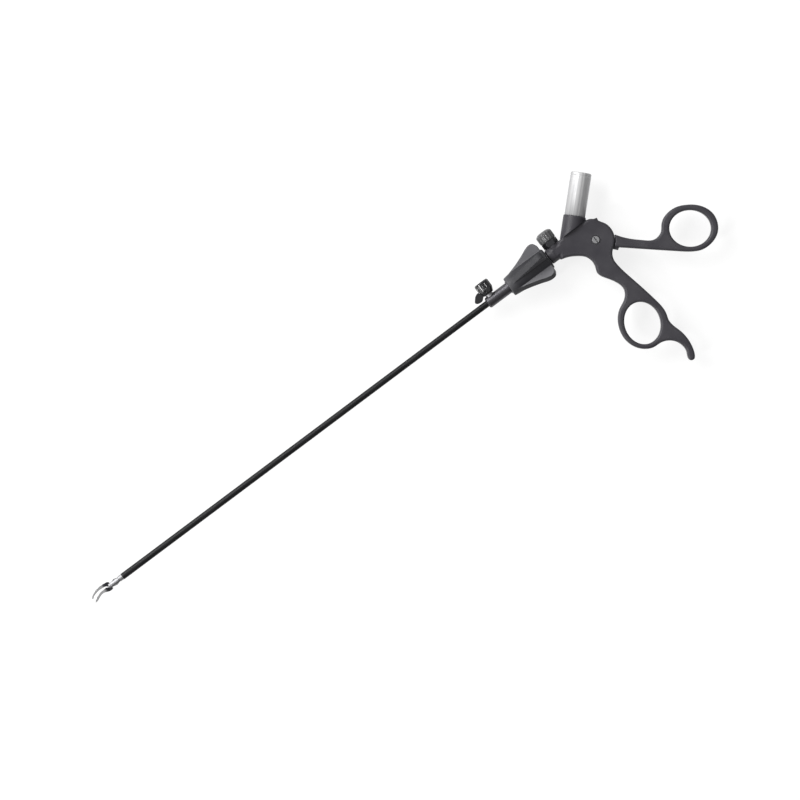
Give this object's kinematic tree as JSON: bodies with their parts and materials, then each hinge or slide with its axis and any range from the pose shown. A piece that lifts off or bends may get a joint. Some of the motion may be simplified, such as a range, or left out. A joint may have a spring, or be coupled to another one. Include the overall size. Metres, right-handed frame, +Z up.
{
  "type": "grasping forceps",
  "caption": "Long-shaft grasping forceps with double-action fenestrated jaws, rotation wheel, capped flush port, locking knob, ring handle with thumb lever and a cable socket",
  "frame": {"origin": "on the shaft's axis at the front face of the flush port's sleeve, where the insulated shaft leaves it", "axes": "+X runs along the shaft towards the handle, +Z is up with the instrument lying on its side, and +Y points to the side of the flush port and the lock knob, so the finger rings lie on the -Y side"},
  "size_m": [0.5276, 0.1622, 0.032],
  "materials": {
    "black_sleeve": "satin black heat-shrunk insulation",
    "steel": "bright satin steel",
    "jaw_steel": "bright ground steel",
    "grey_steel": "mid grey turned steel",
    "dark_steel": "blackened steel",
    "handle_plastic": "charcoal moulded plastic with a soft sheen",
    "wheel_plastic": "dark grey moulded plastic",
    "cap_rubber": "glossy black soft plastic",
    "knob_plastic": "black moulded plastic",
    "connector_steel": "lengthwise brushed light steel",
    "white_insulator": "off-white insulator",
    "brass_pin": "polished contact pin",
    "seal_rubber": "black seal",
    "washer_plastic": "low-friction washer"
  },
  "bodies": {
    "handle": {"handle_body": "handle_plastic", "pivot_screw": "steel", "pivot_nut": "steel", "pivot_bush": "steel", "upper_washer": "washer_plastic", "lower_washer": "washer_plastic", "lock_collar": "dark_steel", "connector_shroud": "connector_steel", "pin_insulator": "white_insulator", "connector_pin": "brass_pin"},
    "lock": {"lock_knob": "knob_plastic", "lock_stud": "steel"},
    "barrel": {"rotation_wheel": "wheel_plastic", "barrel_spigot": "steel", "rod_seal": "seal_rubber", "port_sleeve": "grey_steel", "sleeve_ring": "grey_steel", "flush_port": "steel", "outer_tube": "steel", "insulation_sleeve": "black_sleeve", "jaw_clevis": "steel", "jaw_pivot_pin": "steel"},
    "cap": {"port_cap": "cap_rubber"},
    "rod": {"drive_rod": "steel", "rod_ball": "steel", "rod_crosshead": "steel", "crosshead_pin": "steel"},
    "lever": {"thumb_lever": "handle_plastic"},
    "upper_jaw_body": {"upper_jaw": "jaw_steel", "upper_tail_pin": "steel"},
    "lower_jaw_body": {"lower_jaw": "jaw_steel", "lower_tail_pin": "steel"},
    "upper_link_body": {"upper_link": "jaw_steel"},
    "lower_link_body": {"lower_link": "jaw_steel"}
  },
  "joints": [
    {"name": "lever_swing", "type": "hinge", "parent": "handle", "child": "lever", "pos_m": [0.09024, -0.0101, 0], "axis": [0, 0, 1], "range_deg": [-1.86, 10.55]},
    {"name": "barrel_turn", "type": "hinge", "parent": "handle", "child": "barrel", "pos_m": [0, 0, 0], "axis": [1, 0, 0], "continuous": true},
    {"name": "rod_slide", "type": "slide", "parent": "barrel", "child": "rod", "axis": [1, 0, 0], "range_m": [-0.00187, 0.00034]},
    {"name": "upper_jaw_swing", "type": "hinge", "parent": "barrel", "child": "upper_jaw_body", "pos_m": [-0.341, 0, 0], "axis": [0, 0, 1], "range_deg": [-25.5, 4.5]},
    {"name": "lower_jaw_swing", "type": "hinge", "parent": "barrel", "child": "lower_jaw_body", "pos_m": [-0.341, 0, 0], "axis": [0, 0, 1], "range_deg": [-4.5, 25.5]},
    {"name": "upper_link_swing", "type": "hinge", "parent": "rod", "child": "upper_link_body", "pos_m": [-0.33202, 0, 0], "axis": [0, 0, 1], "range_deg": [-3.5, 19.7]},
    {"name": "lower_link_swing", "type": "hinge", "parent": "rod", "child": "lower_link_body", "pos_m": [-0.33202, 0, 0], "axis": [0, 0, 1], "range_deg": [-19.7, 3.5]},
    {"name": "knob_turn", "type": "hinge", "parent": "handle", "child": "lock", "pos_m": [0.0624, 0, 0], "axis": [0, 1, 0], "range_deg": [0, 360]},
    {"name": "cap_pull", "type": "slide", "parent": "barrel", "child": "cap", "axis": [0, 1, 0], "range_m": [0, 0.009]}
  ],
  "couplings": [
    {"joint": "rod_slide", "follows": "lever_swing", "m_per_rad": -0.0101},
    {"joint": "upper_jaw_swing", "follows": "lever_swing", "ratio": -2.4163},
    {"joint": "lower_jaw_swing", "follows": "lever_swing", "ratio": 2.4163},
    {"joint": "upper_link_swing", "follows": "lever_swing", "ratio": 1.8605},
    {"joint": "lower_link_swing", "follows": "lever_swing", "ratio": -1.8605}
  ]
}
